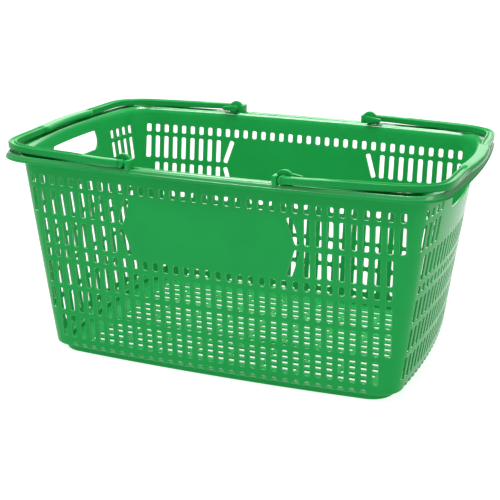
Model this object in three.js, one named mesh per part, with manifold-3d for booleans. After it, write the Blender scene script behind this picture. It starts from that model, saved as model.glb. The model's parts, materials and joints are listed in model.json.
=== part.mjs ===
// A two-handled supermarket shopping basket in injection-moulded polypropylene.
// Three mouldings: the open-work basket body and two U-shaped carrying handles that hook into its ears.
// Millimetres. +X runs along the basket, +Z is up, and the origin is under its middle, on the floor.
import * as THREE from "three";
import { mergeGeometries, mergeVertices } from "three/addons/utils/BufferGeometryUtils.js";
import Module from "manifold-3d";

// Walls. Half sizes are at the middle of each wall, on its outer face.
const WALL_THICKNESS = 2.2;
const WALL_TOP = 221;
const WALL_BOTTOM = 8.5;
const WALL_TOP_HALF_LENGTH = 229;
const WALL_TOP_HALF_WIDTH = 149;
const WALL_BOTTOM_HALF_LENGTH = 200.3;
const WALL_BOTTOM_HALF_WIDTH = 131.2;
const WALL_CORNER_RADIUS = 26.5;
const SIDE_BOW_RADIUS = 2460;
const WALL_END_BOW_RADIUS = 620;
const RIM_END_BOW_RADIUS = 1240;

// Foot ring and floor.
const FOOT_HALF_LENGTH = 189;
const FOOT_HALF_WIDTH = 124.6;
const FOOT_CORNER_RADIUS = 25;
const LEDGE_THICKNESS = 2.2;
const FLOOR_BOTTOM = 3.2;
const FLOOR_TOP = 5.4;
const FLOOR_SLOT_PITCH = 14.7;
const FLOOR_SLOT_WIDTH = 6.2;
const FLOOR_SLOT_LENGTH = 166;
const FLOOR_SLOT_CENTRE = 87;
const FLOOR_SLOTS_EACH_SIDE = 6;

// Rim.
const RIM_TOP = 222;
const RIM_PLATE_TOP = 221.4;
const RIM_PLATE_BOTTOM = 219.4;
const RIM_HALF_LENGTH = 235.7;
const RIM_HALF_WIDTH = 160.6;
const RIM_CORNER_RADIUS = 37;
const RIM_BEAD_WIDTH = 2.4;
const SKIRT_BOTTOM = 215.6;
const SKIRT_HALF_LENGTH = 239.7;
const SKIRT_HALF_WIDTH = 161.9;
const SKIRT_THICKNESS = 2.2;

// Openings in the walls: upright slots in rows, counted in pitches from the middle of each wall.
const SIDE_PITCH = 11.5;
const END_PITCH = 11.7;
const SIDE_SLOT_WIDTH = 5.6;
const END_SLOT_WIDTH = 6.4;
const ROWS = [
  { top: 186.6, bottom: 159.6, side: [9, 17], end: [7, 10], leanTop: -0.55, leanBottom: 0.2 },
  { top: 153.7, bottom: 126.3, side: [9, 16], end: [0, 10], leanTop: 0.2, leanBottom: -0.55 },
  { top: 106.3, bottom: 81.2, side: [0, 16], end: [0, 10] },
  { top: 76.2, bottom: 50.7, side: [0, 16], end: [0, 9] },
  { top: 45.1, bottom: 19.5, side: [0, 15], end: [0, 9] },
];
const LEANING_COLUMN = 8;

// Handhold window in the top of each end wall.
const WINDOW_TOP = 207.3;
const WINDOW_BOTTOM = 185.4;
const WINDOW_HALF_WIDTH = 51;
const WINDOW_TOP_HALF_WIDTH = 48.5;
const WINDOW_BOTTOM_HALF_WIDTH = 40;

// Ears: four half-round lobes on the rim, each with an upright stop beside it.
const AXIS_X = 83.8;
const AXIS_Z = 227.1;
const LOBE_RADIUS = 8.8;
const LOBE_INNER_FACE = 147.2;
const LOBE_OUTER_FACE = 152.2;
const LOBE_HOLE_RADIUS = 2.9;
const STOP_INNER_X = 74.3;
const STOP_OUTER_X = 79.2;
const STOP_TOP = 230.3;
const STOP_OUTER_FACE = 158.9;

// Handles.
const ARM_WIDTH = 8;
const ARM_HEIGHT = 5.7;
const ARM_GROOVE_WIDTH = 2.2;
const ARM_GROOVE_DEPTH = 1.8;
const ARM_EDGE = 1.2;
const ARM_CENTRE_Y = 157;
const HUB_RADIUS = 3.5;
const PEG_RADIUS = 2.4;
const FINGER_HEAD_RADIUS = 3.9;
const FINGER_TIP_RADIUS = 2;
const FINGER_REACH = 13.5;
const FINGER_INNER_FACE = 142.8;
const FINGER_OUTER_FACE = 146.6;
const GRIP_WIDTH = 11;
const GRIP_HEIGHT = 7;
const GRIP_EDGE_RADIUS = 3;
const GRIP_HALF_LENGTH = 52;

// Facets of a long side and of an end (odd numbers), of a corner, and of a full circle.
const SIDE_FACETS = 5;
const END_FACETS = 3;
const CORNER_FACETS = 4;
const CIRCLE_FACETS = 16;
const ARM_STEPS = 42;
const GRIP_STEPS = 6;

// How far joined solids run into each other.
const OVERLAP = 0.6;

const wasm = await Module();
wasm.setup();

// Solids.

function solid(geometry) {
  const plain = geometry.clone();
  plain.deleteAttribute("normal");
  plain.deleteAttribute("uv");
  const merged = mergeVertices(plain, 1e-4);
  return new wasm.Manifold(
    new wasm.Mesh({
      numProp: 3,
      vertProperties: merged.attributes.position.array,
      triVerts: new Uint32Array(merged.index.array),
    }),
  );
}

function geometryOf(body) {
  const mesh = body.getMesh();
  const geometry = new THREE.BufferGeometry();
  geometry.setAttribute("position", new THREE.BufferAttribute(new Float32Array(mesh.vertProperties), 3));
  geometry.setIndex(new THREE.BufferAttribute(new Uint32Array(mesh.triVerts), 1));
  geometry.computeVertexNormals();
  return geometry;
}

function join(solids) {
  return solids.reduce((whole, next) => whole.add(next));
}

function box(x0, x1, y0, y1, z0, z1) {
  const geometry = new THREE.BoxGeometry(x1 - x0, y1 - y0, z1 - z0).toNonIndexed();
  return geometry.translate((x0 + x1) / 2, (y0 + y1) / 2, (z0 + z1) / 2);
}

// A plate whose outline is drawn in X and Z, standing between two values of Y.
function uprightPlate(shape, y0, y1) {
  const geometry = new THREE.ExtrudeGeometry(shape, {
    depth: y1 - y0,
    bevelEnabled: false,
    curveSegments: CIRCLE_FACETS / 4,
  });
  return geometry.rotateX(Math.PI / 2).translate(0, y1, 0);
}

// Where two circles cross, on the side with positive x and y.
function circlesCross(a, radiusA, b, radiusB) {
  const apart = a.distanceTo(b);
  const along = (radiusA ** 2 - radiusB ** 2 + apart ** 2) / (2 * apart);
  const across = Math.sqrt(radiusA ** 2 - along ** 2);
  const direction = b.clone().sub(a).divideScalar(apart);
  const normal = new THREE.Vector2(-direction.y, direction.x);
  const crossings = [1, -1].map((sign) =>
    a.clone().addScaledVector(direction, along).addScaledVector(normal, sign * across),
  );
  return crossings.find((point) => point.x > 0 && point.y > 0);
}

function onArc(centre, radius, angle) {
  return new THREE.Vector2(Math.cos(angle), Math.sin(angle)).multiplyScalar(radius).add(centre);
}

// Points along an arc, without its last one.
function arcPoints(centre, radius, from, to, steps) {
  return Array.from({ length: steps }, (_, i) => onArc(centre, radius, from + ((to - from) * i) / steps));
}

// A rounded rectangle with bowed sides and ends, counter-clockwise. A flat facet spans each middle.
function outline({ halfLength, halfWidth, radius, endBow }) {
  const side = new THREE.Vector2(0, halfWidth - SIDE_BOW_RADIUS);
  const end = new THREE.Vector2(halfLength - endBow, 0);
  const corner = circlesCross(side, SIDE_BOW_RADIUS - radius, end, endBow - radius);
  const endAngle = corner.clone().sub(end).angle();
  const sideAngle = corner.clone().sub(side).angle();
  const quarter = [
    ...arcPoints(end, endBow, endAngle / END_FACETS, endAngle, (END_FACETS - 1) / 2),
    ...arcPoints(corner, radius, endAngle, sideAngle, CORNER_FACETS),
    ...arcPoints(side, SIDE_BOW_RADIUS, sideAngle, middleAngle(sideAngle), (SIDE_FACETS - 1) / 2),
    onArc(side, SIDE_BOW_RADIUS, middleAngle(sideAngle)),
  ];
  const half = [...quarter, ...quarter.map((p) => new THREE.Vector2(-p.x, p.y)).reverse()];
  return [...half, ...half.map((p) => new THREE.Vector2(p.x, -p.y)).reverse()];
}

// Where the middle facet of a long side starts, as an angle of its arc.
function middleAngle(sideAngle) {
  return Math.PI / 2 - (Math.PI / 2 - sideAngle) / SIDE_FACETS;
}

function inset(size, distance) {
  return {
    halfLength: size.halfLength - distance,
    halfWidth: size.halfWidth - distance,
    radius: size.radius - distance,
    endBow: size.endBow - distance,
  };
}

// A ring (or a full plate without a hole) between two heights. Its foot may draw in, for draft, or flare out.
function ring(outer, hole, z0, z1, drawIn = [0, 0]) {
  const shape = new THREE.Shape(outline(outer));
  if (hole) {
    shape.holes.push(new THREE.Path(outline(hole)));
  }
  const geometry = new THREE.ExtrudeGeometry(shape, { depth: z1 - z0, bevelEnabled: false });
  geometry.translate(0, 0, z0);
  const position = geometry.attributes.position;
  for (let i = 0; i < position.count; i += 1) {
    const down = (z1 - position.getZ(i)) / (z1 - z0);
    position.setX(i, position.getX(i) - Math.sign(position.getX(i)) * drawIn[0] * down);
    position.setY(i, position.getY(i) - Math.sign(position.getY(i)) * drawIn[1] * down);
  }
  return solid(geometry);
}

// Columns of a wall on both sides of its middle.
function columns([first, last]) {
  const right = Array.from({ length: last - first + 1 }, (_, i) => first + i);
  return [...right.filter((n) => n > 0).map((n) => -n), ...right];
}

function sideSlots() {
  const reach = WALL_TOP_HALF_WIDTH + WALL_THICKNESS;
  const slots = [];
  for (const row of ROWS) {
    for (const n of columns(row.side)) {
      const x = n * SIDE_PITCH;
      slots.push(box(x - SIDE_SLOT_WIDTH / 2, x + SIDE_SLOT_WIDTH / 2, -reach, reach, row.bottom, row.top));
    }
    if (row.leanTop !== undefined) {
      slots.push(leaningSlot(row, 1, reach), leaningSlot(row, -1, reach));
    }
  }
  return solid(mergeGeometries(slots));
}

// The slot that borders the blank panel slants: it leans towards the panel at one end.
function leaningSlot(row, hand, reach) {
  const topX = hand * SIDE_PITCH * (LEANING_COLUMN + row.leanTop);
  const bottomX = hand * SIDE_PITCH * (LEANING_COLUMN + row.leanBottom);
  const shape = new THREE.Shape([
    new THREE.Vector2(bottomX - SIDE_SLOT_WIDTH / 2, row.bottom),
    new THREE.Vector2(bottomX + SIDE_SLOT_WIDTH / 2, row.bottom),
    new THREE.Vector2(topX + SIDE_SLOT_WIDTH / 2, row.top),
    new THREE.Vector2(topX - SIDE_SLOT_WIDTH / 2, row.top),
  ]);
  return uprightPlate(shape, -reach, reach);
}

function endSlots() {
  const reach = WALL_TOP_HALF_LENGTH + WALL_THICKNESS;
  const slots = [];
  for (const row of ROWS) {
    for (const n of columns(row.end)) {
      const y = n * END_PITCH;
      slots.push(box(-reach, reach, y - END_SLOT_WIDTH / 2, y + END_SLOT_WIDTH / 2, row.bottom, row.top));
    }
  }
  return solid(mergeGeometries(slots));
}

function handholds() {
  const shoulder = (WINDOW_TOP - WINDOW_BOTTOM) / 4;
  const right = [
    new THREE.Vector2(WINDOW_BOTTOM_HALF_WIDTH, WINDOW_BOTTOM),
    new THREE.Vector2(WINDOW_HALF_WIDTH, WINDOW_BOTTOM + shoulder),
    new THREE.Vector2(WINDOW_HALF_WIDTH, WINDOW_TOP - shoulder),
    new THREE.Vector2(WINDOW_TOP_HALF_WIDTH, WINDOW_TOP),
  ];
  const left = right.map((p) => new THREE.Vector2(-p.x, p.y)).reverse();
  const reach = WALL_TOP_HALF_LENGTH + WALL_THICKNESS;
  const through = uprightPlate(new THREE.Shape([...right, ...left]), -reach, reach);
  return solid(through.rotateZ(Math.PI / 2));
}

function floorSlots() {
  const slots = [];
  for (let row = -FLOOR_SLOTS_EACH_SIDE; row <= FLOOR_SLOTS_EACH_SIDE; row += 1) {
    const y = row * FLOOR_SLOT_PITCH;
    for (const x of [-FLOOR_SLOT_CENTRE, FLOOR_SLOT_CENTRE]) {
      const slot = new THREE.BoxGeometry(FLOOR_SLOT_LENGTH, FLOOR_SLOT_WIDTH, 3 * (FLOOR_TOP - FLOOR_BOTTOM));
      slots.push(slot.translate(x, y, (FLOOR_TOP + FLOOR_BOTTOM) / 2));
    }
  }
  return solid(mergeGeometries(slots));
}

function ear(handX, handY) {
  const shape = new THREE.Shape();
  shape.moveTo(AXIS_X - LOBE_RADIUS, RIM_PLATE_BOTTOM);
  shape.lineTo(AXIS_X + LOBE_RADIUS, RIM_PLATE_BOTTOM);
  shape.absarc(AXIS_X, AXIS_Z, LOBE_RADIUS, 0, Math.PI, false);
  const hole = new THREE.Path();
  hole.absarc(AXIS_X, AXIS_Z, LOBE_HOLE_RADIUS, 0, Math.PI, false);
  hole.absarc(AXIS_X, AXIS_Z, LOBE_HOLE_RADIUS, Math.PI, 2 * Math.PI, false);
  shape.holes.push(hole);
  const lobe = uprightPlate(shape, LOBE_INNER_FACE, LOBE_OUTER_FACE);
  const stop = box(
    STOP_INNER_X,
    STOP_OUTER_X,
    LOBE_INNER_FACE + OVERLAP,
    STOP_OUTER_FACE,
    RIM_PLATE_BOTTOM + OVERLAP,
    STOP_TOP,
  );
  const body = solid(lobe).add(solid(stop));
  return body.scale([handX, handY, 1]);
}

function basketBody() {
  const wallTop = {
    halfLength: WALL_TOP_HALF_LENGTH,
    halfWidth: WALL_TOP_HALF_WIDTH,
    radius: WALL_CORNER_RADIUS,
    endBow: WALL_END_BOW_RADIUS,
  };
  const wallInside = inset(wallTop, WALL_THICKNESS);
  const draft = [WALL_TOP_HALF_LENGTH - WALL_BOTTOM_HALF_LENGTH, WALL_TOP_HALF_WIDTH - WALL_BOTTOM_HALF_WIDTH];
  const wallFoot = {
    halfLength: WALL_BOTTOM_HALF_LENGTH,
    halfWidth: WALL_BOTTOM_HALF_WIDTH,
    radius: WALL_CORNER_RADIUS,
    endBow: WALL_END_BOW_RADIUS,
  };
  const foot = {
    halfLength: FOOT_HALF_LENGTH,
    halfWidth: FOOT_HALF_WIDTH,
    radius: FOOT_CORNER_RADIUS,
    endBow: RIM_END_BOW_RADIUS,
  };
  const rim = {
    halfLength: RIM_HALF_LENGTH,
    halfWidth: RIM_HALF_WIDTH,
    radius: RIM_CORNER_RADIUS,
    endBow: RIM_END_BOW_RADIUS,
  };
  const flare = [RIM_HALF_LENGTH - SKIRT_HALF_LENGTH, RIM_HALF_WIDTH - SKIRT_HALF_WIDTH];
  const ledgeTop = WALL_BOTTOM + LEDGE_THICKNESS;

  const walls = join([
    ring(wallTop, wallInside, WALL_BOTTOM, WALL_TOP, draft),
    ring(inset(wallFoot, OVERLAP), inset(foot, WALL_THICKNESS), WALL_BOTTOM, ledgeTop),
    ring(foot, inset(foot, WALL_THICKNESS), 0, ledgeTop),
  ])
    .subtract(sideSlots())
    .subtract(endSlots())
    .subtract(handholds());
  const floor = ring(inset(foot, OVERLAP), null, FLOOR_BOTTOM, FLOOR_TOP).subtract(floorSlots());
  const rimRing = join([
    ring(inset(rim, OVERLAP), wallInside, RIM_PLATE_BOTTOM, RIM_PLATE_TOP),
    ring(inset(wallInside, -RIM_BEAD_WIDTH), wallInside, RIM_PLATE_BOTTOM, RIM_TOP),
    ring(rim, inset(rim, RIM_BEAD_WIDTH), RIM_PLATE_BOTTOM, RIM_TOP),
    ring(rim, inset(rim, SKIRT_THICKNESS), SKIRT_BOTTOM, RIM_PLATE_TOP, flare),
  ]);
  const ears = [];
  for (const handX of [-1, 1]) {
    for (const handY of [-1, 1]) {
      ears.push(ear(handX, handY));
    }
  }
  return join([walls, floor, rimRing, ...ears]);
}

// The middle line of the right-hand handle, laid out on the rim: half of it, from the ear to the grip.
const HALF_PATH = [
  [AXIS_X, ARM_CENTRE_Y],
  [106, 156],
  [126, 152.8],
  [150, 149.6],
  [177, 146.8],
  [196, 143.4],
  [212, 136.6],
  [223.5, 124.5],
  [228.8, 107],
  [230, 88],
  [231, 66],
  [234.2, 38],
  [236.5, 0],
];

function handlePath() {
  const half = HALF_PATH.map(([x, y]) => new THREE.Vector3(x, -y, AXIS_Z));
  const other = HALF_PATH.slice(0, -1).reverse().map(([x, y]) => new THREE.Vector3(x, y, AXIS_Z));
  return new THREE.CatmullRomCurve3([...half, ...other], false, "centripetal");
}

// Sections are drawn with x downwards and y across the bar.
function armSection() {
  const h = ARM_HEIGHT / 2;
  const w = ARM_WIDTH / 2;
  const g = ARM_GROOVE_WIDTH / 2;
  const right = [
    [-h + ARM_GROOVE_DEPTH, g],
    [-h, g],
    [-h, w - ARM_EDGE],
    [-h + ARM_EDGE, w],
    [h, w],
  ].map(([x, y]) => new THREE.Vector2(x, y));
  const left = right.map((p) => new THREE.Vector2(p.x, -p.y)).reverse();
  return new THREE.Shape([...right, ...left]);
}

function gripSection() {
  const x = GRIP_HEIGHT / 2 - GRIP_EDGE_RADIUS;
  const y = GRIP_WIDTH / 2 - GRIP_EDGE_RADIUS;
  const shape = new THREE.Shape();
  shape.absarc(x, y, GRIP_EDGE_RADIUS, 0, Math.PI / 2, false);
  shape.absarc(-x, y, GRIP_EDGE_RADIUS, Math.PI / 2, Math.PI, false);
  shape.absarc(-x, -y, GRIP_EDGE_RADIUS, Math.PI, 1.5 * Math.PI, false);
  shape.absarc(x, -y, GRIP_EDGE_RADIUS, 1.5 * Math.PI, 2 * Math.PI, false);
  return shape;
}

function hook(hand) {
  const lean = Math.acos((FINGER_HEAD_RADIUS - FINGER_TIP_RADIUS) / FINGER_REACH);
  const shape = new THREE.Shape();
  shape.absarc(AXIS_X, AXIS_Z, FINGER_HEAD_RADIUS, lean, 2 * Math.PI - lean, false);
  shape.absarc(AXIS_X + FINGER_REACH, AXIS_Z, FINGER_TIP_RADIUS, -lean, lean, false);
  const finger = solid(uprightPlate(shape, FINGER_INNER_FACE, FINGER_OUTER_FACE));
  const cylinder = (radius, y0, y1) =>
    solid(
      new THREE.CylinderGeometry(radius, radius, y1 - y0, CIRCLE_FACETS).translate(AXIS_X, (y0 + y1) / 2, 0),
    ).translate([0, 0, AXIS_Z]);
  const peg = cylinder(PEG_RADIUS, FINGER_OUTER_FACE - OVERLAP, ARM_CENTRE_Y);
  const hub = cylinder(HUB_RADIUS, ARM_CENTRE_Y - ARM_WIDTH / 2, ARM_CENTRE_Y + ARM_WIDTH / 2);
  return join([finger, peg, hub]).scale([1, hand, 1]);
}

function handle() {
  const path = handlePath();
  const share = GRIP_HALF_LENGTH / path.getLength();
  const alongGrip = (i) => path.getPointAt(0.5 + share * ((2 * i) / GRIP_STEPS - 1));
  const gripPath = new THREE.CatmullRomCurve3(Array.from({ length: GRIP_STEPS + 1 }, (_, i) => alongGrip(i)));
  const bar = new THREE.ExtrudeGeometry(armSection(), { steps: ARM_STEPS, extrudePath: path });
  const grip = new THREE.ExtrudeGeometry(gripSection(), {
    steps: GRIP_STEPS,
    curveSegments: CIRCLE_FACETS / 8,
    extrudePath: gripPath,
  });
  return join([solid(bar), solid(grip), hook(1), hook(-1)]);
}

// Scene.

function plastic(colour) {
  return new THREE.MeshStandardMaterial({ color: colour, roughness: 0.32, metalness: 0 });
}

function meshOf(name, body, material) {
  const mesh = new THREE.Mesh(geometryOf(body), material);
  mesh.name = name;
  return mesh;
}

const green = plastic(0x1f9a4a);
const rightHandle = handle();
const basket = new THREE.Group();
basket.add(meshOf("basket_body", basketBody(), green));
basket.add(meshOf("handle_right", rightHandle, green));
basket.add(meshOf("handle_left", rightHandle.rotate([0, 0, 180]), green));

export default basket;
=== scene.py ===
"""A two-handled supermarket shopping basket in glossy green polypropylene.

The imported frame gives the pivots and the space; every visible surface is built here in mesh code.
Lengths are millimetres until a mesh is made, with +X along the basket and +Z up.
"""

import json
import math

import bmesh
import bpy
import numpy as np
from mathutils import Matrix, Vector
from mathutils.geometry import delaunay_2d_cdt


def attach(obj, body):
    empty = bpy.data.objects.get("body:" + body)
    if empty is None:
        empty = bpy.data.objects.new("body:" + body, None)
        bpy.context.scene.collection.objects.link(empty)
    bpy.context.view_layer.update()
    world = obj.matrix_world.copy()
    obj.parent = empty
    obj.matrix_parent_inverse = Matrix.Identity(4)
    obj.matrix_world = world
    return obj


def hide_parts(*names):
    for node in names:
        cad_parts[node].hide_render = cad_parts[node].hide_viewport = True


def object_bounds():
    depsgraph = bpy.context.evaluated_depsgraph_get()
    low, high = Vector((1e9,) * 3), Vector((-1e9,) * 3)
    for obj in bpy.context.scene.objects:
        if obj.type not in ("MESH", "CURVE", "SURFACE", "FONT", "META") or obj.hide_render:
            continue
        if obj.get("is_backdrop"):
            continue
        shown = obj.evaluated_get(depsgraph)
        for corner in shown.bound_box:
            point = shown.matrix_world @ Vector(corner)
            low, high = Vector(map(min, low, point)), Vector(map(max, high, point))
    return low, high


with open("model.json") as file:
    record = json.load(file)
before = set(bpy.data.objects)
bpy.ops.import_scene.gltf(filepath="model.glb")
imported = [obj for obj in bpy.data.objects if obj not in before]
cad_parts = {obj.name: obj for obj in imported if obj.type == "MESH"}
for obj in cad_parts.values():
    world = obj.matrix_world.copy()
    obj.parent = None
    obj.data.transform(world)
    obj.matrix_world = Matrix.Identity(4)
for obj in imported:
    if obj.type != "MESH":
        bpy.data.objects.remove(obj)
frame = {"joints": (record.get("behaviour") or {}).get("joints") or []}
cad_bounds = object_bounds()

MM = 0.001
BODY = "body"
RIGHT = "right_handle"
LEFT = "left_handle"

JOINTS = {joint["name"]: joint for joint in frame["joints"]}
AXIS_X = JOINTS["right_handle_swing"]["pos_m"][0] / MM
AXIS_Z = JOINTS["right_handle_swing"]["pos_m"][2] / MM

# Plan outlines: long sides and ends are wide arcs, joined by a corner arc that touches both.
SIDE_ARC = 2460.0
END_ARC = 1240.0

# Walls: half sizes at the floor and their growth per millimetre of height. The ends bow more higher up.
WALL_HALF_X, WALL_DRAFT_X = 199.2, 0.135
WALL_HALF_Y, WALL_DRAFT_Y = 130.54, 0.0834
WALL_END_CURVE, WALL_END_CURVE_GROWTH = 1 / 900, 3.1e-6
WALL_RADIUS = 26.5
WALL_THICKNESS = 2.2
WALL_FOOT = 8.4
WALL_HEAD = 213.6

# Openings in the walls.
SIDE_PITCH = 11.5
END_PITCH = 11.7
PITCHES = (SIDE_PITCH, END_PITCH)
SLOT_WIDTHS = (5.6, 6.4)
SLOT_CORNER = 1.8
EDGE = 0.45

RIM_TOP = AXIS_Z - 5.1

# Stations at which a side is divided: their spacing in slot pitches, and the steps of half a corner.
STATION_STEP = 0.5
CORNER_STEPS = 7

# Where the middle of a quarter round lies, as a share of its radius.
ROUND_MIDDLE = 0.3


# ---------------------------------------------------------------- plan outlines


class Outline:
    """An outline that reaches mid_x and mid_y at the middle of its ends and sides; sizes may be arrays."""

    def __init__(self, mid_x, mid_y, radius, side_arc=SIDE_ARC, end_arc=END_ARC):
        self.mid = (mid_x, mid_y)
        self.radius = radius
        self.arcs = (side_arc, end_arc)
        # The corner's centre is where two circles cross, one about each wide arc's own centre.
        low, back = mid_y - side_arc, mid_x - end_arc
        a, b = side_arc - radius, end_arc - radius
        apart = np.hypot(back, low)
        along = (a * a - b * b + apart * apart) / (2 * apart)
        across = np.sqrt(a * a - along * along)
        self.centre = (
            (along * back - across * low) / apart,
            low - (along * low + across * back) / apart,
        )
        self.lean = (np.arcsin(self.centre[0] / a), np.arcsin(self.centre[1] / b))
        self.seam = (
            (self.lean[0] + math.pi / 2 - self.lean[1]) / 2,
            (self.lean[1] + math.pi / 2 - self.lean[0]) / 2,
        )

    def reach(self, end):
        """How far a side runs from its middle to the middle of its corner."""
        return self.centre[end] + self.radius * np.sin(self.seam[end])

    def flat(self, end):
        """How far a side's wide arc runs from its middle."""
        return self.centre[end] + self.radius * np.sin(self.lean[end])

    def places(self, end, p):
        """Points of the front side (or the right end), p being the distance from its middle."""
        size = np.abs(p)
        arc, middle = self.arcs[end], self.mid[1 - end]
        wide = middle - arc + np.sqrt(arc * arc - size * size)
        over = np.clip(size - self.centre[end], 0, self.radius)
        tight = self.centre[1 - end] + np.sqrt(self.radius * self.radius - over * over)
        q = np.where(size <= self.flat(end), wide, tight)
        return np.stack([q, p] if end else [p, -q], -1)


def wall_outline(z):
    return Outline(
        WALL_HALF_X + WALL_DRAFT_X * z,
        WALL_HALF_Y + WALL_DRAFT_Y * z,
        WALL_RADIUS,
        end_arc=1 / (WALL_END_CURVE + WALL_END_CURVE_GROWTH * z),
    )


def carry(end, p, source, target):
    """The distances on a target outline that match distances p on a source outline."""
    size = np.abs(p)
    turn = np.arcsin(np.clip((size - source.centre[end]) / source.radius, -1, 1))
    share = (turn - source.lean[end]) / (source.seam[end] - source.lean[end])
    turned = target.lean[end] + share * (target.seam[end] - target.lean[end])
    beyond = target.centre[end] + target.radius * np.sin(turned)
    scaled = size * target.flat(end) / source.flat(end)
    return np.sign(p) * np.where(size <= source.flat(end), scaled, beyond)


def wall(end, points, depth):
    """Places on the wall for flat points (p, z), at a depth below its outer face."""
    p, z = points[:, 0], points[:, 1]

    def face(p, z):
        return np.column_stack([wall_outline(z).places(end, p), z])

    nudge = 0.01
    across = face(p + nudge, z) - face(p - nudge, z)
    up = face(p, z + nudge) - face(p, z - nudge)
    normal = np.cross(across, up)
    normal /= np.linalg.norm(normal, axis=1)[:, None]
    return face(p, z) - normal * depth


# ---------------------------------------------------------------- perforated plates


def void_normals(outline, closed):
    """Mitred normals of a polyline on its right-hand side, where there is no material."""
    if closed:
        before, after = np.roll(outline, 1, 0), np.roll(outline, -1, 0)
    else:
        before = np.vstack([outline[:1], outline[:-1]])
        after = np.vstack([outline[1:], outline[-1:]])

    def right(step):
        length = np.linalg.norm(step, axis=1)
        length[length == 0] = 1
        return np.column_stack([step[:, 1], -step[:, 0]]) / length[:, None]

    total = right(outline - before) + right(after - outline)
    return total * 2 / np.maximum(np.sum(total * total, axis=1), 1)[:, None]


def slot(low, high, width, arc=3, step=4.6):
    """A clockwise outline with rounded corners between two end points of its middle line."""
    low, high = np.array(low, float), np.array(high, float)
    axis = (high - low) / np.linalg.norm(high - low)
    across = np.array([axis[1], -axis[0]]) * width / 2
    corners = [low - across, high - across, high + across, low + across]
    return rounded(corners, [SLOT_CORNER] * 4, arc, step)


def rounded(corners, radii, arc=6, step=5.0):
    """A closed outline through the given corners, each rounded to its radius."""
    corners = [np.array(c, float) for c in corners]
    points = []
    for i, corner in enumerate(corners):
        a = corners[i - 1] - corner
        b = corners[(i + 1) % len(corners)] - corner
        a, b = a / np.linalg.norm(a), b / np.linalg.norm(b)
        half = math.acos(np.clip(np.dot(a, b), -1, 1)) / 2
        middle = (a + b) / np.linalg.norm(a + b)
        centre = corner + middle * radii[i] / math.sin(half)
        start, stop = (corner + v * radii[i] / math.tan(half) - centre for v in (a, b))
        sweep = math.pi - 2 * half
        turn = math.copysign(1, start[0] * stop[1] - start[1] * stop[0])
        for angle in np.linspace(0, sweep, arc + 1) * turn:
            c, s = math.cos(angle), math.sin(angle)
            points.append(centre + [c * start[0] - s * start[1], s * start[0] + c * start[1]])
    filled = []
    for here, there in zip(points, points[1:] + points[:1]):
        count = max(int(np.linalg.norm(there - here) / step), 1)
        filled += [here + (there - here) * k / count for k in range(count)]
    return np.array(filled)


SAME_POINT = 1e-5
SMALLEST_TURN = 1e-6


def plate(lay, thickness, edge, edged, plain, loose, reach=None):
    """A plate with rounded edges, divided into triangles.

    edged holds (outline, closed, owners), plain holds cut borders, and loose holds more points.
    lay(points, depth) gives places in space, and reach(height) how far out the plate goes to each side.
    A triangle whose corners all have the same owner is open air.
    """
    points, owners, links, rings = [], [], [], []

    def add(line, closed, tags):
        base = len(points)
        points.extend(map(tuple, line))
        owners.extend(tags)
        links.extend((base + i, base + i + 1) for i in range(len(line) - 1))
        if closed:
            links.append((base + len(line) - 1, base))
        return base

    for outline, closed, tags in edged:
        normals = void_normals(outline, closed)
        rings.append((outline, normals, closed, add(outline - normals * edge, closed, tags)))
    for line in plain:
        add(line, False, [-1] * len(line))
    points.extend(map(tuple, loose))
    owners.extend([-1] * len(loose))

    flat, _, faces, origins, _, _ = delaunay_2d_cdt([Vector(p) for p in points], links, [], 0, SAME_POINT)
    flat = np.array([tuple(v) for v in flat])
    out = np.zeros(len(points), int)
    owner = np.full(len(flat), -1)
    for i, sources in enumerate(origins):
        for source in sources:
            out[source] = i
            owner[i] = max(owner[i], owners[source])

    solid = []
    for a, b, c in faces:
        if owner[a] == owner[b] == owner[c] != -1:
            continue
        (ax, ay), (bx, by), (cx, cy) = flat[a], flat[b], flat[c]
        if reach and abs(ax + bx + cx) / 3 > reach((ay + by + cy) / 3):
            continue
        turn = (bx - ax) * (cy - ay) - (by - ay) * (cx - ax)
        if abs(turn) > SMALLEST_TURN:
            solid.append((a, b, c) if turn > 0 else (a, c, b))

    back = len(flat)
    verts = [lay(flat, 0), lay(flat, thickness)]
    count = 2 * back
    quads = []
    for outline, normals, closed, base in rings:
        n = len(outline)
        front = out[base : base + n]
        rows = [front]
        for inset, depth in ((ROUND_MIDDLE, ROUND_MIDDLE), (0, 1)):
            verts.append(lay(outline - normals * edge * inset, edge * depth))
            rows.append(np.arange(count, count + n))
            count += n
        for inset, depth in ((0, 1), (ROUND_MIDDLE, ROUND_MIDDLE)):
            verts.append(lay(outline - normals * edge * inset, thickness - edge * depth))
            rows.append(np.arange(count, count + n))
            count += n
        rows.append(front + back)
        for upper, lower in zip(rows, rows[1:]):
            for i in range(n if closed else n - 1):
                j = (i + 1) % n
                quads.append((upper[i], lower[i], lower[j], upper[j]))
    faces = solid + [(c + back, b + back, a + back) for a, b, c in solid] + quads
    return np.vstack(verts), faces


# ---------------------------------------------------------------- meshes


def join_parts(parts):
    """One list of points and faces from several."""
    verts, faces, base = [], [], 0
    for points, polygons in parts:
        verts.append(points)
        faces += [tuple(int(i) + base for i in face) for face in polygons]
        base += len(points)
    return np.vstack(verts), faces


def drop_flaps(bm):
    """Delete what a weld folds over: a face with an open edge beside an edge shared by three faces."""
    flap = True
    while flap:
        crowded = [face for edge in bm.edges if len(edge.link_faces) > 2 for face in edge.link_faces]
        flap = next((face for face in crowded if any(edge.is_boundary for edge in face.edges)), None)
        if flap:
            bmesh.ops.delete(bm, geom=[flap], context="FACES")


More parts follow.
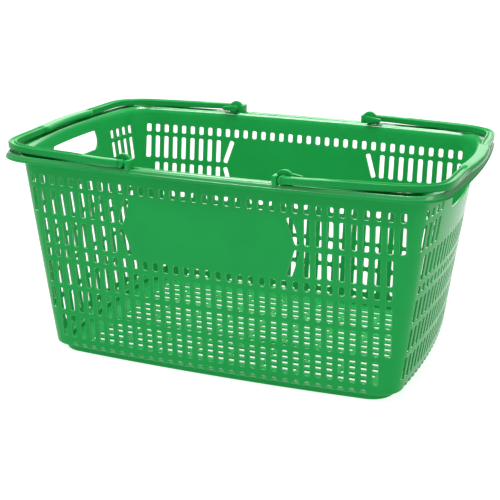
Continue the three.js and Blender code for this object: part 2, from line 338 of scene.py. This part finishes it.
def mesh_object(name, verts, faces, material, weld=0.02):
    """A mesh object in metres from points in millimetres, welded and facing out."""
    mesh = bpy.data.meshes.new(name)
    points = [tuple(place) for place in np.asarray(verts) * MM]
    mesh.from_pydata(points, [], [tuple(int(i) for i in face) for face in faces])
    bm = bmesh.new()
    bm.from_mesh(mesh)
    bmesh.ops.remove_doubles(bm, verts=bm.verts, dist=weld * MM)
    drop_flaps(bm)
    bmesh.ops.recalc_face_normals(bm, faces=bm.faces)
    for face in bm.faces:
        face.smooth = True
    bm.to_mesh(mesh)
    bm.free()
    mesh.materials.append(material)
    piece = bpy.data.objects.new(name, mesh)
    bpy.context.scene.collection.objects.link(piece)
    return piece


def weighted(piece):
    """Shade large faces flat and let the small ones between them turn."""
    modifier = piece.modifiers.new("weighted", "WEIGHTED_NORMAL")
    modifier.keep_sharp = True


def bevelled(piece, width):
    """Round the piece's sharp edges."""
    modifier = piece.modifiers.new("bevel", "BEVEL")
    modifier.width = width * MM
    modifier.segments = 3
    modifier.limit_method = "ANGLE"
    modifier.angle_limit = math.radians(35)


def loft(rows, ring):
    """Quads between rows of points; the profile closes on itself where ring is true."""
    count = len(rows[0])
    verts = np.vstack(rows)
    faces = []
    for i in range(len(rows) if ring else len(rows) - 1):
        a, b = i * count, ((i + 1) % len(rows)) * count
        for j in range(count):
            k = (j + 1) % count
            faces.append((a + j, a + k, b + k, b + j))
    return verts, faces


# ---------------------------------------------------------------- stations round the basket


def side_stations(end, outline, pitches=STATION_STEP):
    """Distances from the middle of a side at which it is divided, corner to corner."""
    flat = outline.flat(end)
    step = pitches * PITCHES[end]
    shortest = 0.3 * step
    count = int((flat - shortest) / step)
    inner = np.arange(-count, count + 1) * step
    turns = np.linspace(outline.lean[end], outline.seam[end], CORNER_STEPS + 1)
    corner = outline.centre[end] + outline.radius * np.sin(turns)
    return np.concatenate([-corner[::-1], inner, corner])


def loop(outline, base, stations):
    """The whole outline, counter-clockwise from the front left corner, at a base outline's stations."""
    front = outline.places(0, carry(0, stations[0], base, outline))[:-1]
    right = outline.places(1, carry(1, stations[1], base, outline))[:-1]
    return np.vstack([front, right, -front, -right])


def raised(plan_points, z):
    """Points of a plan at one height."""
    return np.column_stack([plan_points, np.full(len(plan_points), float(z))])


# ---------------------------------------------------------------- materials


# Faint differences over a moulding: how its colour and its roughness vary, and the height of its ripples.
DARKER, LIGHTER = 0.96, 1.04
SMOOTHEST, ROUGHEST = 0.15, 0.23
RIPPLE_HEIGHT = 0.0004


def plastic(name, colour, gloss, seed):
    """Moulded polypropylene: a faint mottle, fine ripples, and a skin that varies in roughness."""
    material = bpy.data.materials.new(name)
    material.use_nodes = True
    nodes, links = material.node_tree.nodes, material.node_tree.links
    shader = nodes["Principled BSDF"]
    place = nodes.new("ShaderNodeTexCoord")

    def noise(scale, detail, roughness):
        node = nodes.new("ShaderNodeTexNoise")
        node.noise_dimensions = "4D"
        node.inputs["W"].default_value = seed
        node.inputs["Scale"].default_value = scale
        node.inputs["Detail"].default_value = detail
        node.inputs["Roughness"].default_value = roughness
        links.new(place.outputs["Object"], node.inputs["Vector"])
        return node

    def ramp(source, low, high):
        node = nodes.new("ShaderNodeMapRange")
        node.inputs["From Min"].default_value = 0.3
        node.inputs["From Max"].default_value = 0.7
        node.inputs["To Min"].default_value = low
        node.inputs["To Max"].default_value = high
        links.new(source.outputs["Fac"], node.inputs["Value"])
        return node

    # A colour mix has its two colours in inputs 6 and 7, and gives the result in output 2.
    mottle = noise(22, 3, 0.5)
    tint = nodes.new("ShaderNodeMix")
    tint.data_type = "RGBA"
    links.new(ramp(mottle, 0, 1).outputs[0], tint.inputs["Factor"])
    tint.inputs[6].default_value = (*[part * DARKER for part in colour], 1)
    tint.inputs[7].default_value = (*[part * LIGHTER for part in colour], 1)
    links.new(tint.outputs[2], shader.inputs["Base Color"])

    links.new(ramp(noise(60, 4, 0.6), SMOOTHEST, ROUGHEST).outputs[0], shader.inputs["Roughness"])
    bump = nodes.new("ShaderNodeBump")
    bump.inputs["Strength"].default_value = 0.03
    bump.inputs["Distance"].default_value = RIPPLE_HEIGHT
    links.new(noise(90, 1, 0.4).outputs["Fac"], bump.inputs["Height"])
    links.new(bump.outputs["Normal"], shader.inputs["Normal"])
    shader.inputs["IOR"].default_value = 1.49
    shader.inputs["Specular IOR Level"].default_value = gloss
    shader.inputs["Subsurface Weight"].default_value = 0.15
    shader.inputs["Subsurface Radius"].default_value = (0.4, 1.0, 0.5)
    shader.inputs["Subsurface Scale"].default_value = 0.002
    return material


GREEN = (0.014, 0.335, 0.071)
body_plastic = plastic("body_plastic", GREEN, 0.055, 1.0)
polished_plastic = plastic("polished_plastic", GREEN, 0.9, 3.0)
handle_plastic = plastic("handle_plastic", tuple(0.9 * part for part in GREEN), 0.07, 2.0)


# ---------------------------------------------------------------- basket shell

# Rows of openings: bottom and top, and the first and last columns on a long side and on an end. Columns are
# counted from the middle of a wall. A row may also have leaning slots, at these columns at bottom and top.
ROWS = [
    {"z": (191.6, 201.2), "side": (0, 17), "end": (7, 10)},
    {"z": (159.6, 186.65), "side": (9, 17), "end": (7, 10), "lean": (8.2, 7.45)},
    {"z": (126.3, 153.7), "side": (9, 16), "end": (0, 9), "lean": (7.45, 8.2)},
    {"z": (111.7, 121.3), "side": (0, 16), "end": (0, 9)},
    {"z": (81.2, 106.3), "side": (0, 16), "end": (0, 9)},
    {"z": (50.7, 76.2), "side": (0, 16), "end": (0, 9)},
    {"z": (19.5, 45.1), "side": (0, 15), "end": (0, 9)},
]
WINDOW = [(-48.5, 207.3), (48.5, 207.3), (51.5, 196.5), (47.5, 185.4), (-47.5, 185.4), (-51.5, 196.5)]
WINDOW_CORNERS = [3.5, 3.5, 14, 8, 8, 14]
WINDOW_MIDDLE = (np.array([-41.0, 196.4]), np.array([41.0, 196.4]))
WINDOW_HALF = 11.0

# Arched notches along the foot of a wall. Their owners are numbered after those of the other openings.
NOTCH_WIDTH = 6.0
NOTCH_HEIGHT = 5.0
NOTCH_OWNER = 1000
NOTCHES = (14, 8)

# Loose points in the solid stretches: their spacing in height, and how far they stay from openings
# and from notches.
FACE_STEP = 6.2
OPENING_GAP = 2.2
NOTCH_GAP = 3.0


def columns(span):
    """The columns of a span and their mirror images."""
    first, last = span
    right = list(range(first, last + 1))
    return [-k for k in right if k > 0] + right


def wall_openings(end):
    """Outlines of a wall's openings and, for each, its middle line and half width."""
    key = "end" if end else "side"
    pitch, width = PITCHES[end], SLOT_WIDTHS[end]
    found = []
    for row in ROWS:
        low, high = row["z"]
        lines = [((k * pitch, low), (k * pitch, high)) for k in columns(row[key])]
        if "lean" in row and not end:
            a, b = row["lean"]
            lines += [((s * a * pitch, low), (s * b * pitch, high)) for s in (-1, 1)]
        found += [(slot(a, b, width), np.array(a), np.array(b), width / 2) for a, b in lines]
    if end:
        found.append((rounded(WINDOW, WINDOW_CORNERS), *WINDOW_MIDDLE, WINDOW_HALF))
    return found


def wall_foot_line(end):
    """The lower edge of a wall, corner to corner, with an arched notch at each column, and its owners."""
    half = NOTCH_WIDTH / 2
    spring = WALL_FOOT + NOTCH_HEIGHT - half
    centres = PITCHES[end] * np.arange(-NOTCHES[end], NOTCHES[end] + 1)
    stretches = [
        (p, [(p, WALL_FOOT)], -1)
        for p in side_stations(end, wall_outline(WALL_FOOT + EDGE))
        if np.abs(centres - p).min() > half + 1
    ]
    for i, centre in enumerate(centres):
        turns = np.linspace(0, math.pi, 7)
        arch = [(centre - half * math.cos(t), spring + half * math.sin(t)) for t in turns]
        arch = [(centre - half, WALL_FOOT)] + arch + [(centre + half, WALL_FOOT)]
        stretches.append((centre, arch, NOTCH_OWNER + i))
    line, owners = [], []
    for _, points, owner in sorted(stretches, key=lambda stretch: stretch[0]):
        line += points
        owners += [owner] * len(points)
    return np.array(line), owners


def seam_heights():
    """Heights at which the seam between two walls is divided."""
    count = int((WALL_HEAD - WALL_FOOT) / FACE_STEP)
    return np.linspace(WALL_FOOT + EDGE, WALL_HEAD, count + 1)


def wall_plate(end):
    """One wall, from seam to seam, with its openings."""
    openings = wall_openings(end)
    edged = [(outline, True, [i] * len(outline)) for i, (outline, _, _, _) in enumerate(openings)]
    foot_line, foot_owners = wall_foot_line(end)
    edged.append((foot_line, False, foot_owners))

    heights = seam_heights()
    seam = wall_outline(heights).reach(end)
    head = side_stations(end, wall_outline(WALL_HEAD))
    plain = [
        np.column_stack([-seam, heights]),
        np.column_stack([seam, heights]),
        np.column_stack([head, np.full(len(head), WALL_HEAD)]),
    ]

    loose = []
    notched = (NOTCHES[end] + 0.5) * SIDE_PITCH
    for z in heights[1:-1]:
        for p in side_stations(end, wall_outline(z))[1:-1]:
            spot = np.array([p, z])
            if z < WALL_FOOT + NOTCH_HEIGHT + NOTCH_GAP and abs(p) < notched:
                continue
            if all(clearance(spot, a, b) > r + EDGE + OPENING_GAP for _, a, b, r in openings):
                loose.append(spot)

    def lay(points, depth):
        return wall(end, points, depth)

    def reach(height):
        return np.interp(height, heights, seam)

    return plate(lay, WALL_THICKNESS, EDGE, edged, plain, loose, reach)


def clearance(spot, a, b):
    """How far a spot is from the line between two points."""
    along = np.clip(np.dot(spot - a, b - a) / np.dot(b - a, b - a), 0, 1)
    return np.linalg.norm(spot - a - along * (b - a))


def half_turn(part):
    """The same part on the opposite side of the basket."""
    verts, faces = part
    return verts * [-1, -1, 1], faces


RIM_ARC = 2800.0
RIM_INNER = Outline(227.5, 148.2, 29, RIM_ARC, 640)
RIM_OUTER = Outline(238.2, 160.6, 37, RIM_ARC, 1000)
SKIRT = Outline(242.2, 161.9, 40.7, RIM_ARC, 1000)

# The round bead along each edge of the rim's top, as (inwards, up), and the shallow channel between the two.
BEAD = [(0.0, -1.5), (0.2, -0.8), (0.7, -0.2), (1.4, 0.05), (2.1, -0.1), (2.7, -0.7), (3.0, -1.5)]
CHANNEL_EDGE = 3.6
CHANNEL_DEPTH = 1.8

# Faces of the rim's top: the lowest centre of the beads, the channel's centres, and how far a bead faces up.
BEADS_FROM = RIM_TOP - 4.5
CHANNEL_HEIGHTS = (RIM_TOP - 1.95, RIM_TOP - 1.45)
BEAD_NORMAL = 0.25


def rim_rows(base, stations):
    """The rim's section: up the wall's outer face, round the skirt, over the top and down the inner face."""
    inner = loop(RIM_INNER, base, stations)
    outer = loop(RIM_OUTER, base, stations)
    skirt = loop(SKIRT, base, stations)
    out = outer - inner
    out /= np.linalg.norm(out, axis=1)[:, None]

    def on_wall(z, depth, shift=0.0):
        sides = []
        for end in (0, 1):
            p = carry(end, stations[end], base, wall_outline(z))
            sides.append(wall(end, np.column_stack([p, np.full(len(p), z)]), depth)[:-1])
        ring = np.vstack(sides + [side * [-1, -1, 1] for side in sides])
        ring[:, :2] += out * shift
        return ring

    def at(line, shift, z):
        return raised(line + out * shift, z)

    def between(share, shift, z):
        return raised(outer + (skirt - outer) * share + out * shift, z)

    top = RIM_TOP
    fillet = [
        on_wall(WALL_HEAD, 0),
        on_wall(top - 4.2, 0),
        on_wall(top - 3.3, 0, 0.35),
        on_wall(top - 2.9, 0, 1.1),
    ]
    inside_skirt = [
        at(outer, -3.0, top - 2.9),
        between(0.2, -2.4, top - 3.4),
        between(0.9, -1.9, top - 5.9),
    ]
    skirt_lip = [
        at(skirt, -1.4, top - 6.4),
        at(skirt, -0.5, top - 6.4),
        at(skirt, -0.05, top - 6.0),
    ]
    skirt_ridge = [
        between(0.55, 0.1, top - 4.2),
        between(0.5, 0.55, top - 3.95),
        between(0.42, 0.6, top - 3.6),
        between(0.36, 0.1, top - 3.3),
    ]
    outer_bead = [at(outer, -inwards, top + up) for inwards, up in BEAD]
    channel = [at(outer, -CHANNEL_EDGE, top - CHANNEL_DEPTH), at(inner, CHANNEL_EDGE, top - CHANNEL_DEPTH)]
    inner_bead = [at(inner, inwards, top + up) for inwards, up in reversed(BEAD)]
    inner_face = [on_wall(top - 3.4, WALL_THICKNESS), on_wall(WALL_HEAD, WALL_THICKNESS)]
    return fillet + inside_skirt + skirt_lip + skirt_ridge + outer_bead + channel + inner_bead + inner_face


def polish(shell):
    """The beads of the rim and the edges of the openings are smoother than the walls.

    Below the rim, only the edges of the openings are made of quads.
    """
    shell.data.materials.append(polished_plastic)
    low, high = CHANNEL_HEIGHTS
    for face in shell.data.polygons:
        height = face.center.z / MM
        bead = height > BEADS_FROM and face.normal.z > BEAD_NORMAL and not low < height < high
        opening = height < WALL_HEAD - 1 and len(face.vertices) == 4
        face.material_index = int(bead or opening)


SHELL_WELD = 0.12


def make_shell():
    """The four walls and the rim, as one closed mesh."""
    front, right = wall_plate(0), wall_plate(1)
    base = wall_outline(WALL_HEAD)
    stations = [side_stations(end, base) for end in (0, 1)]
    rim = loft(rim_rows(base, stations), ring=False)
    verts, faces = join_parts([front, right, half_turn(front), half_turn(right), rim])
    shell = mesh_object("basket_shell", verts, faces, body_plastic, SHELL_WELD)
    polish(shell)
    weighted(shell)
    return shell


# ---------------------------------------------------------------- foot ring and floor grid

FOOT = Outline(189.1, 124.6, 25)
LEDGE_TOP = 10.7
LEDGE_POLISH_FROM = WALL_FOOT + 0.3

# The floor has rows of slots along the basket, each broken by ribs into cells.
FLOOR_OUTLINE = Outline(188.0, 123.5, 24)
FLOOR_TOP = 5.4
FLOOR_THICKNESS = 1.9
FLOOR_EDGE = 0.4
FLOOR_PITCH = 14.68
FLOOR_CELL = 40.35
FLOOR_RIB = 4.0
FLOOR_SLOT = 6.8
FLOOR_CORNER = 1.2
FLOOR_ROWS = 7
FLOOR_CELLS = 4


def make_foot():
    """The foot ring, with the ledge that the walls stand on."""
    base = wall_outline(WALL_FOOT)
    stations = [side_stations(end, base) for end in (0, 1)]
    foot = loop(FOOT, base, stations)
    ledge = loop(wall_outline(LEDGE_TOP), base, stations)
    out = ledge - foot
    out /= np.linalg.norm(out, axis=1)[:, None]

    def at(line, shift, z):
        return raised(line + out * shift, z)

    half = WALL_THICKNESS / 2
    rows = [
        at(ledge, -half, WALL_FOOT + 0.2),
        at(foot, 1.2, WALL_FOOT + 0.2),
        at(foot, 0.5, WALL_FOOT - 0.1),
        at(foot, 0.15, WALL_FOOT - 0.9),
        at(foot, 0, 1.0),
        at(foot, -0.25, 0.3),
        at(foot, -0.8, 0),
        at(foot, -1.5, 0),
        at(foot, -2.0, 0.3),
        at(foot, -2.2, 1.0),
        at(foot, -2.2, LEDGE_TOP - 0.8),
        at(foot, -1.9, LEDGE_TOP - 0.2),
        at(foot, -1.2, LEDGE_TOP),
        at(ledge, -WALL_THICKNESS - 0.9, LEDGE_TOP),
        at(ledge, -WALL_THICKNESS - 0.2, LEDGE_TOP + 0.4),
        at(ledge, -half, LEDGE_TOP + 0.8),
    ]
    verts, faces = loft(rows, ring=True)
    foot_ring = mesh_object("basket_foot", verts, faces, body_plastic)
    foot_ring.data.materials.append(polished_plastic)
    for face in foot_ring.data.polygons:
        face.material_index = int(face.center.z / MM > LEDGE_POLISH_FROM)
    weighted(foot_ring)
    return foot_ring


def make_floor():
    """The floor grid."""
    stations = [side_stations(end, FOOT, pitches=1.0) for end in (0, 1)]
    border = loop(FLOOR_OUTLINE, FOOT, stations)
    edged = [(border, True, [-1] * len(border))]
    rows, cells = range(-FLOOR_ROWS, FLOOR_ROWS + 1), range(-FLOOR_CELLS, FLOOR_CELLS)
    for owner, (row, cell) in enumerate((row, cell) for row in rows for cell in cells):
        x0, x1 = cell * FLOOR_CELL + FLOOR_RIB / 2, (cell + 1) * FLOOR_CELL - FLOOR_RIB / 2
        y0, y1 = row * FLOOR_PITCH - FLOOR_SLOT / 2, row * FLOOR_PITCH + FLOOR_SLOT / 2
        outline = rounded([(x0, y0), (x0, y1), (x1, y1), (x1, y0)], [FLOOR_CORNER] * 4, arc=3, step=9)
        edged.append((outline, True, [owner] * len(outline)))

    def lay(points, depth):
        return np.column_stack([points, np.full(len(points), FLOOR_TOP - depth)])

    verts, faces = plate(lay, FLOOR_THICKNESS, FLOOR_EDGE, edged, [], [])
    return mesh_object("basket_floor", verts, faces, body_plastic)


# ---------------------------------------------------------------- ears


def prism(outline, y0, y1):
    """A solid whose outline is drawn in X and Z, standing between two values of Y."""
    outline = np.asarray(outline, float)
    n = len(outline)
    near = np.column_stack([outline[:, 0], np.full(n, y0), outline[:, 1]])
    far = np.column_stack([outline[:, 0], np.full(n, y1), outline[:, 1]])
    faces = [tuple(range(n)), tuple(range(2 * n - 1, n - 1, -1))]
    faces += [(i, i + n, (i + 1) % n + n, (i + 1) % n) for i in range(n)]
    return np.vstack([near, far]), faces


LOBE_RADIUS = 8.4
LOBE_FACES = (150.0, 154.2)
STOP_X = (73.8, 78.6)
STOP_Y = (149.4, 161.4)
STOP_TOP = 230.6
EAR_FOOT = RIM_TOP - 1.6
EAR_BEVEL = 0.6


def make_ear(name, hand_x, hand_y):
    """The lobe that holds a pivot and the stop beside it; each hand is 1 or -1."""
    angles = np.linspace(0, math.pi, 25)
    arch = [(AXIS_X + LOBE_RADIUS * math.cos(t), AXIS_Z + LOBE_RADIUS * math.sin(t)) for t in angles]
    arch += [(AXIS_X - LOBE_RADIUS, EAR_FOOT), (AXIS_X + LOBE_RADIUS, EAR_FOOT)]
    verts, faces = prism(arch, *LOBE_FACES)
    lobe = mesh_object(name + "_lobe", verts * [hand_x, hand_y, 1], faces, body_plastic)
    bevelled(lobe, EAR_BEVEL)
    block = [(STOP_X[0], EAR_FOOT), (STOP_X[1], EAR_FOOT), (STOP_X[1], STOP_TOP), (STOP_X[0], STOP_TOP)]
    verts, faces = prism(block, *STOP_Y)
    stop = mesh_object(name + "_stop", verts * [hand_x, hand_y, 1], faces, body_plastic)
    bevelled(stop, EAR_BEVEL)
    return [lobe, stop]


# ---------------------------------------------------------------- handles

# The middle line of a handle from its pivot to the middle of its grip.
HANDLE_LINE = [
    (AXIS_X, 159.2),
    (106, 158.2),
    (119.4, 156.0),
    (141.5, 152.2),
    (159.2, 149.8),
    (176.9, 147.4),
    (193.5, 144.4),
    (209.5, 139.4),
    (223.2, 129.6),
    (229.6, 117.9),
    (232.0, 101.7),
    (232.6, 88.5),
    (233.5, 66.3),
    (235.3, 50),
    (237.8, 28),
    (239.0, 0),
]
BAR_STEP = 3.0

# A bar's section near its pivot, and what the grooved arms and the grip add to it or take away.
BAR_WIDTH, ARM_WIDER, GRIP_WIDER = 8, 1, 6
BAR_HEIGHT, GRIP_HIGHER = 7, 0.3
BAR_EDGE, ARM_SHARPER, GRIP_ROUNDER = 1.8, 0.6, 1.8
GRIP_SHIFT = 1.5

# The groove along an arm: its depth, its half width as a share of the bar's width, and the share that each
# of its slopes takes.
GROOVE_DEPTH = 1.8
GROOVE_HALF, GROOVE_SLOPE = 0.32, 0.16

# Distances along a bar, each with the length of its blend: from the middle to the end of the grip, and from
# the pivot to the start of the groove.
GRIP_END, GRIP_BLEND = 56, 5
GROOVE_START, GROOVE_BLEND = 40, 20

HUB_RADIUS, HUB_FACES, HUB_BEVEL = 4.0, (155.0, 163.0), 0.9
PEG_RADIUS, PEG_FACES = 2.4, (146.2, 156.0)
FINGER_HEAD, FINGER_TIP, FINGER_LENGTH = 3.9, 2.0, 13.5
FINGER_FACES, FINGER_BEVEL = (142.8, 146.6), 0.6


def smooth_line(points, step):
    """A curve through the points, resampled at an even step."""
    points = np.array(points, float)
    padded = np.vstack([2 * points[0] - points[1], points, 2 * points[-1] - points[-2]])
    dense = []
    for i in range(1, len(padded) - 2):
        p0, p1, p2, p3 = padded[i - 1 : i + 3]
        t = np.linspace(0, 1, 24, endpoint=False)[:, None]
        slope, bend, twist = p2 - p0, 2 * p0 - 5 * p1 + 4 * p2 - p3, 3 * p1 - p0 - 3 * p2 + p3
        dense.append(0.5 * (2 * p1 + slope * t + bend * t**2 + twist * t**3))
    dense = np.vstack(dense + [points[-1:]])
    length = np.concatenate([[0], np.cumsum(np.linalg.norm(np.diff(dense, axis=0), axis=1))])
    count = int(length[-1] / step)
    even = np.linspace(0, length[-1], count + 1)
    return np.column_stack([np.interp(even, length, dense[:, k]) for k in (0, 1)])


def handle_section(width, height, edge, groove):
    """A bar's section: flat sides, rounded edges, and a groove between two ridges along its top."""
    points = []
    w, h = width / 2, height / 2
    for cx, cy, start in ((w - edge, -h + edge, -90), (w - edge, h - edge, 0)):
        for t in np.radians(np.linspace(start, start + 90, 7)):
            points.append((cx + edge * math.cos(t), cy + edge * math.sin(t)))
    for u in np.linspace(w - edge, -w + edge, 13)[1:-1]:
        dip = groove * np.clip((GROOVE_HALF * width - abs(u)) / (GROOVE_SLOPE * width), 0, 1)
        points.append((u, h - dip))
    for cx, cy, start in ((-w + edge, h - edge, 90), (-w + edge, -h + edge, 180)):
        for t in np.radians(np.linspace(start, start + 90, 7)):
            points.append((cx + edge * math.cos(t), cy + edge * math.sin(t)))
    return np.array(points)


def handle_bar():
    """The bar of a handle, from pivot to pivot round its grip."""
    line = smooth_line([(x, -y) for x, y in HANDLE_LINE] + HANDLE_LINE[-2::-1], BAR_STEP)
    tangent = np.gradient(line, axis=0)
    tangent /= np.linalg.norm(tangent, axis=1)[:, None]
    out = np.column_stack([tangent[:, 1], -tangent[:, 0]])
    travelled = np.concatenate([[0], np.cumsum(np.linalg.norm(np.diff(line, axis=0), axis=1))])
    from_middle = np.abs(travelled - travelled[-1] / 2)
    from_pivot = travelled[-1] / 2 - from_middle
    rows = []
    for here, side, middle, pivot in zip(line, out, from_middle, from_pivot):
        grip = float(np.clip((GRIP_END - middle) / GRIP_BLEND, 0, 1))
        grip = grip * grip * (3 - 2 * grip)
        arm = float(np.clip((pivot - GROOVE_START) / GROOVE_BLEND, 0, 1)) * (1 - grip)
        width = BAR_WIDTH + ARM_WIDER * arm + GRIP_WIDER * grip
        height = BAR_HEIGHT + GRIP_HIGHER * grip
        edge = BAR_EDGE + GRIP_ROUNDER * grip - ARM_SHARPER * arm
        section = handle_section(width, height, edge, GROOVE_DEPTH * arm)
        section[:, 0] -= GRIP_SHIFT * grip
        ring = np.column_stack(
            [here[0] + side[0] * section[:, 0], here[1] + side[1] * section[:, 0], AXIS_Z + section[:, 1]]
        )
        rows.append(ring)
    verts, faces = loft(rows, ring=False)
    n, last = len(rows[0]), len(verts) - len(rows[0])
    faces += [tuple(range(n - 1, -1, -1)), tuple(range(last, last + n))]
    return verts, faces


def drum(radius, y0, y1):
    """A cylinder about the pivot, between two values of Y."""
    angles = np.linspace(0, 2 * math.pi, 40, endpoint=False)
    return prism([(AXIS_X + radius * math.cos(t), AXIS_Z + radius * math.sin(t)) for t in angles], y0, y1)


def hook_finger():
    """The tapering finger at the inner end of a peg, which keeps the handle in its ear."""
    lean = math.acos((FINGER_HEAD - FINGER_TIP) / FINGER_LENGTH)
    outline = []
    for middle, radius, turns in (
        (AXIS_X, FINGER_HEAD, np.linspace(lean, 2 * math.pi - lean, 25)),
        (AXIS_X + FINGER_LENGTH, FINGER_TIP, np.linspace(-lean, lean, 13)),
    ):
        outline += [(middle + radius * math.cos(t), AXIS_Z + radius * math.sin(t)) for t in turns]
    return prism(outline, *FINGER_FACES)


def make_handle(name, turn):
    """The pieces of one handle; turn is 1 on the right and -1 on the left."""
    spin = np.array([turn, turn, 1])
    verts, faces = handle_bar()
    bar = mesh_object(name + "_bar", verts * spin, faces, handle_plastic)
    weighted(bar)
    pieces = [bar]
    for side, hand in (("near", -1), ("far", 1)):
        flip = np.array([turn, turn * hand, 1])
        for part, (verts, faces), edge in (
            ("hub", drum(HUB_RADIUS, *HUB_FACES), HUB_BEVEL),
            ("peg", drum(PEG_RADIUS, *PEG_FACES), 0),
            ("finger", hook_finger(), FINGER_BEVEL),
        ):
            piece = mesh_object(f"{name}_{part}_{side}", verts * flip, faces, handle_plastic)
            if edge:
                bevelled(piece, edge)
            pieces.append(piece)
    return pieces


# ---------------------------------------------------------------- assembly

body_pieces = [make_shell(), make_foot(), make_floor()]
for x_name, hand_x in (("right", 1), ("left", -1)):
    for y_name, hand_y in (("near", -1), ("far", 1)):
        body_pieces += make_ear(f"ear_{x_name}_{y_name}", hand_x, hand_y)
for piece in body_pieces:
    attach(piece, BODY)
    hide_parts("basket_body")

for name, body, turn in (("handle_right", RIGHT, 1), ("handle_left", LEFT, -1)):
    for piece in make_handle(name, turn):
        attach(piece, body)
        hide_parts(name)


# ---------------------------------------------------------------- stage, light and camera


STAGE_HALF = 6
STAGE_DROP = 0.0002
WORLD_LIGHT, WORLD_SEEN = 0.4, 1.0


def stage_material(name, colour, glow):
    """A matt surface that glows, so that shadows on it stay pale."""
    material = bpy.data.materials.new(name)
    material.use_nodes = True
    shader = material.node_tree.nodes["Principled BSDF"]
    shader.inputs["Base Color"].default_value = (*colour, 1)
    shader.inputs["Roughness"].default_value = 0.85
    shader.inputs["Emission Color"].default_value = (1, 1, 1, 1)
    shader.inputs["Emission Strength"].default_value = glow
    return material


def make_stage():
    """The pale floor, a hair under the basket's foot."""
    bm = bmesh.new()
    bmesh.ops.create_grid(bm, x_segments=1, y_segments=1, size=STAGE_HALF)
    mesh = bpy.data.meshes.new("floor")
    bm.to_mesh(mesh)
    bm.free()
    mesh.materials.append(stage_material("floor", (0.4, 0.4, 0.4), 0.85))
    floor = bpy.data.objects.new("floor", mesh)
    floor.location.z = -STAGE_DROP
    bpy.context.scene.collection.objects.link(floor)
    floor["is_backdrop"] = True


def area_light(name, place, aim, size, power):
    """A soft rectangular lamp."""
    light = bpy.data.lights.new(name, "AREA")
    light.shape = "RECTANGLE"
    light.size, light.size_y = size
    light.energy = power
    lamp = bpy.data.objects.new(name, light)
    lamp.location = place
    lamp.rotation_euler = (Vector(aim) - Vector(place)).to_track_quat("-Z", "Y").to_euler()
    bpy.context.scene.collection.objects.link(lamp)


def make_lights():
    """A plain white world, brighter to the camera than as a light, and four soft lamps."""
    world = bpy.data.worlds.new("studio")
    world.use_nodes = True
    nodes, links = world.node_tree.nodes, world.node_tree.links
    nodes["Background"].inputs["Color"].default_value = (1, 1, 1, 1)
    ray = nodes.new("ShaderNodeLightPath")
    strength = nodes.new("ShaderNodeMapRange")
    strength.inputs["To Min"].default_value = WORLD_LIGHT
    strength.inputs["To Max"].default_value = WORLD_SEEN
    links.new(ray.outputs["Is Camera Ray"], strength.inputs["Value"])
    links.new(strength.outputs[0], nodes["Background"].inputs["Strength"])
    bpy.context.scene.world = world
    area_light("key", place=(-1.0, -1.6, 2.6), aim=(0, 0, 0.1), size=(0.7, 0.7), power=25)
    area_light("top", place=(0, 0.02, 1.0), aim=(0, 0, 0.1), size=(0.42, 0.3), power=8)
    area_light("side", place=(2.4, -0.5, 1.7), aim=(0, 0, 0.15), size=(1.0, 1.0), power=8)
    area_light("back", place=(-0.9, 2.9, 1.3), aim=(0, 0, 0.2), size=(3.4, 1.5), power=36)


def make_camera():
    """The photograph's viewpoint, rolled by a fraction of a degree."""
    eye, aim = Vector((0.4137, -1.1182, 0.4891)), Vector((-0.0074, 0, 0.0995))
    roll = math.radians(0.54)
    camera = bpy.data.cameras.new("camera")
    camera.lens = 81.2
    camera.sensor_width = 36
    seat = bpy.data.objects.new("camera", camera)
    look = (aim - eye).to_track_quat("-Z", "Y").to_matrix().to_4x4()
    seat.matrix_world = Matrix.Translation(eye) @ look @ Matrix.Rotation(roll, 4, "Z")
    bpy.context.scene.collection.objects.link(seat)
    bpy.context.scene.camera = seat


make_stage()
make_lights()
make_camera()
bpy.context.scene.view_settings.view_transform = "Standard"


def corners(bounds):
    """The low and high corners as plain lists."""
    return [list(corner) for corner in bounds]


{"cad": corners(cad_bounds), "visual": corners(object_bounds())}
